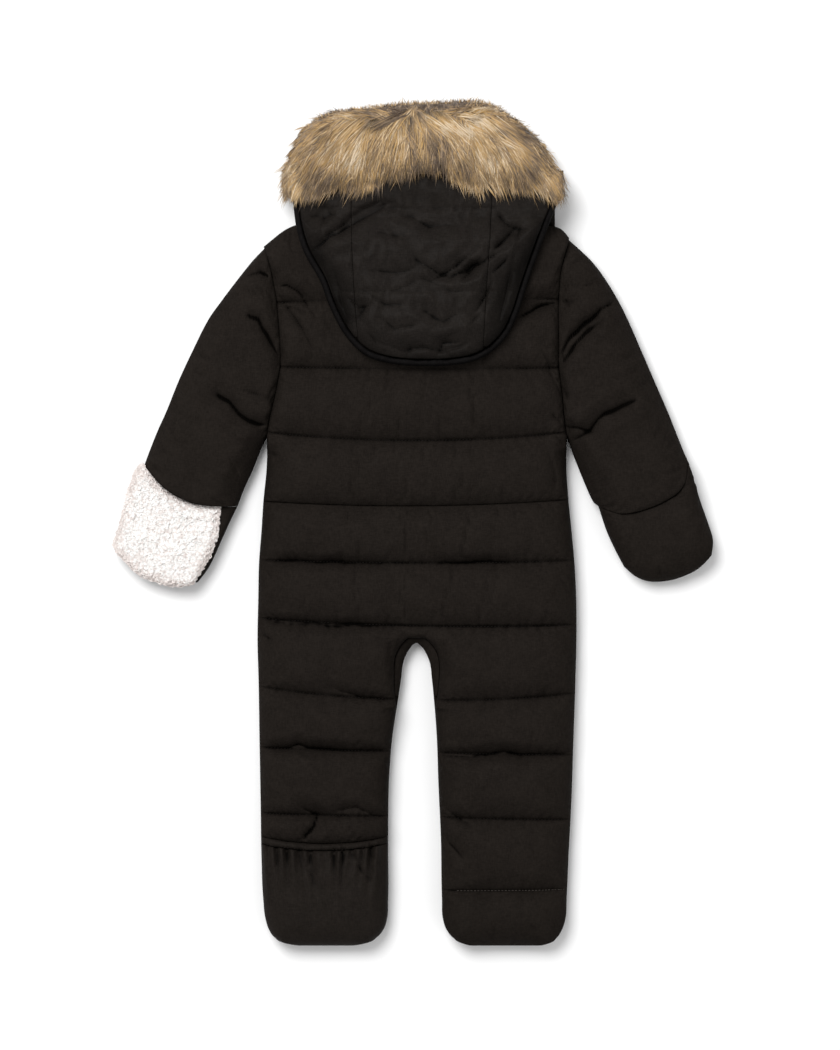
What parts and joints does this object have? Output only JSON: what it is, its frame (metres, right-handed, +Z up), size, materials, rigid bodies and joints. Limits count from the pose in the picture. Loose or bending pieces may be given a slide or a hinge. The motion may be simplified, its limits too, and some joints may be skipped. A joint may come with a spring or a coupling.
{
  "type": "toddler snowsuit",
  "caption": "Quilted padded toddler snowsuit laid face down, with fur-trimmed hood, sleeves, mitten flaps and fold-over foot covers.",
  "frame": {"origin": "centre of the outline's box, on the surface that the suit lies on", "axes": "+Y runs from the feet to the hood, +X is the right side as seen from above, +Z is up, away from the surface"},
  "size_m": [0.6291, 0.8931, 0.0721],
  "materials": {
    "shell": "matte black-brown woven nylon with a faint sheen",
    "hood": "the shell's cloth, unquilted and a little glossier",
    "cover": "the shell's cloth, thin and gathered",
    "binding": "folded black binding tape",
    "fleece": "off-white curly pile",
    "fur": "long golden tan imitation fur, darker at root and tip"
  },
  "bodies": {
    "root": {"back_yoke": "shell", "seat_and_legs": "shell", "inseam_gusset": "shell", "front_left": "shell", "front_right": "shell", "front_flap": "shell", "sleeve_left": "shell", "sleeve_right": "shell", "mitt_left_fleece": "fleece", "mitt_left_shell": "shell", "mitt_right": "shell", "foot_cover_left": "cover", "foot_casing_left": "cover", "foot_cover_right": "cover", "hood_centre": "hood", "hood_side_left": "hood", "hood_side_right": "hood", "hood_binding": "binding", "hood_nape": "hood", "hood_chin": "hood", "fur_trim_top": "fur", "fur_trim_chin": "fur"}
  },
  "joints": []
}
